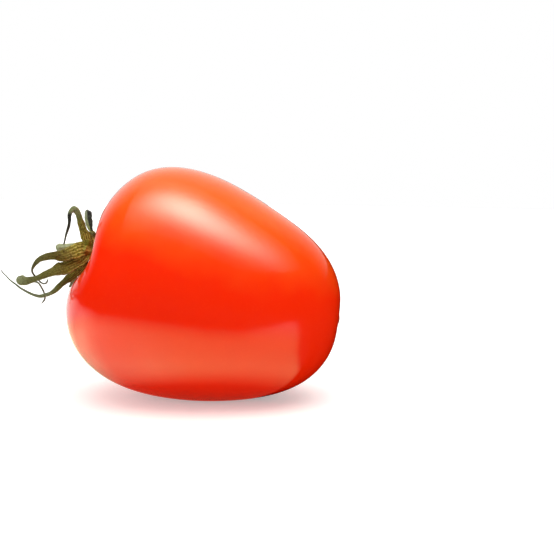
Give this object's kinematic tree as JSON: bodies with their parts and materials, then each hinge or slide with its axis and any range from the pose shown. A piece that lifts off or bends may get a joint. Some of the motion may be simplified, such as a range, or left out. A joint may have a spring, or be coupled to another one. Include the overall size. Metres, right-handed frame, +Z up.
{
  "type": "tomato",
  "caption": "Ripe squat plum tomato lying on its side, with a dried curled calyx and a short stalk stub.",
  "frame": {"origin": "centre of the small flat spot that the tomato rests on", "axes": "+Z up, +X towards the blossom end, so the stem end looks towards -X and a little up; -Y is the front"},
  "size_m": [0.0889, 0.061, 0.0609],
  "materials": {
    "skin": "glossy waxy red tomato skin",
    "dried_sepals": "dry olive and rusty brown leaf",
    "stalk": "matt pale sage green stem"
  },
  "bodies": {
    "root": {"fruit": "skin", "calyx": "dried_sepals", "stalk": "stalk"}
  },
  "joints": []
}
